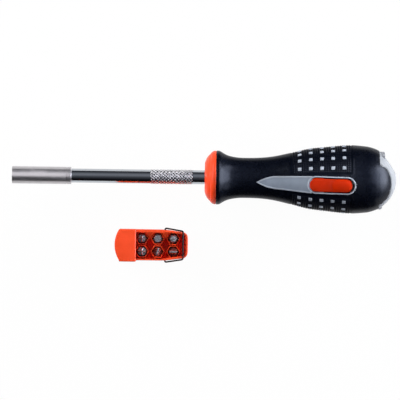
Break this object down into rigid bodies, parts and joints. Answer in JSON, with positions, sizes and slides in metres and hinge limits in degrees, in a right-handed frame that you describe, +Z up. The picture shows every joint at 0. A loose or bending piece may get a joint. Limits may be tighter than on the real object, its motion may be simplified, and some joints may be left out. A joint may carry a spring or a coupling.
{
  "type": "ratcheting screwdriver",
  "caption": "Ratcheting bit screwdriver with a knurled shaft, direction collar, soft studded grip, release button, hinged end cap and a pull-out bit magazine with a wire bail",
  "frame": {"origin": "the mouth of the bit socket, on the tool's axis", "axes": "+X from the bit socket along the tool's axis to the end cap, +Z up from the table that the tool and the magazine lie on, +Y away from the magazine"},
  "size_m": [0.245, 0.0769, 0.0447],
  "materials": {
    "satin_steel": "fine turned satin",
    "dark_chrome": "polished, dark",
    "bit_steel": "grey blasted steel",
    "ratchet_steel": "hardened, oiled",
    "magnet": "ground",
    "spring_steel": "drawn wire",
    "bronze": "sintered",
    "cast_housing": "die cast",
    "orange_plastic": "moulded, soft gloss",
    "black_rubber": "moulded soft grip",
    "core_plastic": "moulded",
    "grey_plastic": "moulded blue grey",
    "cap_plastic": "moulded pale grey"
  },
  "bodies": {
    "handle": {"handle_core": "core_plastic", "grip_sleeve": "black_rubber", "grip_studs": "grey_plastic", "side_plate": "grey_plastic", "ratchet_housing": "cast_housing", "housing_cover": "cast_housing", "cover_screws": "satin_steel", "pawl_pins": "satin_steel", "detent_ball": "ratchet_steel", "detent_spring": "spring_steel", "rear_bush": "bronze", "button_pin": "satin_steel", "button_spring": "spring_steel", "hinge_pin": "satin_steel"},
    "spindle": {"bit_holder": "satin_steel", "bit_magnet": "magnet", "shaft": "dark_chrome", "ratchet_gear": "ratchet_steel", "thrust_washer": "bronze", "shaft_circlip": "spring_steel"},
    "selector": {"selector_ring": "orange_plastic", "shift_plungers": "ratchet_steel", "plunger_springs": "spring_steel"},
    "upper_pawl": {"pawl_upper": "ratchet_steel"},
    "lower_pawl": {"pawl_lower": "ratchet_steel"},
    "button": {"release_button": "orange_plastic"},
    "cap": {"end_cap": "cap_plastic", "cap_pads": "black_rubber"},
    "magazine": {"magazine_body": "orange_plastic"},
    "bail": {"wire_bail": "spring_steel"},
    "cross_bit_small": {"cross_bit_small": "bit_steel"},
    "cross_bit_large": {"cross_bit_large": "bit_steel"},
    "hexagon_bit": {"hexagon_bit": "bit_steel"},
    "slotted_bit_small": {"slotted_bit_small": "bit_steel"},
    "slotted_bit_large": {"slotted_bit_large": "bit_steel"},
    "six_lobe_bit": {"six_lobe_bit": "bit_steel"}
  },
  "joints": [
    {"name": "spindle_turn", "type": "hinge", "parent": "handle", "child": "spindle", "pos_m": [0, 0, 0], "axis": [1, 0, 0], "continuous": true},
    {"name": "selector_turn", "type": "hinge", "parent": "handle", "child": "selector", "pos_m": [0.1264, 0, 0], "axis": [1, 0, 0], "range_deg": [-15, 15]},
    {"name": "upper_pawl_rock", "type": "hinge", "parent": "handle", "child": "upper_pawl", "pos_m": [0.1282, -0.0016, 0.00753], "axis": [1, 0, 0], "range_deg": [-5, 5]},
    {"name": "lower_pawl_rock", "type": "hinge", "parent": "handle", "child": "lower_pawl", "pos_m": [0.1282, 0.0016, -0.00753], "axis": [1, 0, 0], "range_deg": [-5, 5]},
    {"name": "button_press", "type": "hinge", "parent": "handle", "child": "button", "pos_m": [0.2, -0.00343, 0.01614], "axis": [0, 0.9781, 0.2079], "range_deg": [0, 5], "stiffness_Nm_per_rad": 0.3, "springref_deg": -1.72, "deforming": ["button_spring"]},
    {"name": "cap_swing", "type": "hinge", "parent": "handle", "child": "cap", "pos_m": [0.2346, -0.01663, -0.00353], "axis": [0, 0.2079, -0.9781], "range_deg": [0, 90]},
    {"name": "magazine_lift", "type": "slide", "parent": "handle", "child": "magazine", "axis": [0, 0, 1], "range_m": [0, 0.045]},
    {"name": "bail_swing", "type": "hinge", "parent": "magazine", "child": "bail", "pos_m": [0.0981, -0.0436, 0.0004], "axis": [0, -1, 0], "range_deg": [0, 75]},
    {"name": "cross_bit_small_pull", "type": "slide", "parent": "magazine", "child": "cross_bit_small", "axis": [0, 0, 1], "range_m": [0, 0.03]},
    {"name": "cross_bit_large_pull", "type": "slide", "parent": "magazine", "child": "cross_bit_large", "axis": [0, 0, 1], "range_m": [0, 0.03]},
    {"name": "hexagon_bit_pull", "type": "slide", "parent": "magazine", "child": "hexagon_bit", "axis": [0, 0, 1], "range_m": [0, 0.03]},
    {"name": "slotted_bit_small_pull", "type": "slide", "parent": "magazine", "child": "slotted_bit_small", "axis": [0, 0, 1], "range_m": [0, 0.03]},
    {"name": "slotted_bit_large_pull", "type": "slide", "parent": "magazine", "child": "slotted_bit_large", "axis": [0, 0, 1], "range_m": [0, 0.03]},
    {"name": "six_lobe_bit_pull", "type": "slide", "parent": "magazine", "child": "six_lobe_bit", "axis": [0, 0, 1], "range_m": [0, 0.03]}
  ],
  "couplings": [
    {"joint": "upper_pawl_rock", "follows": "selector_turn", "ratio": 0.33333},
    {"joint": "lower_pawl_rock", "follows": "selector_turn", "ratio": 0.33333}
  ]
}
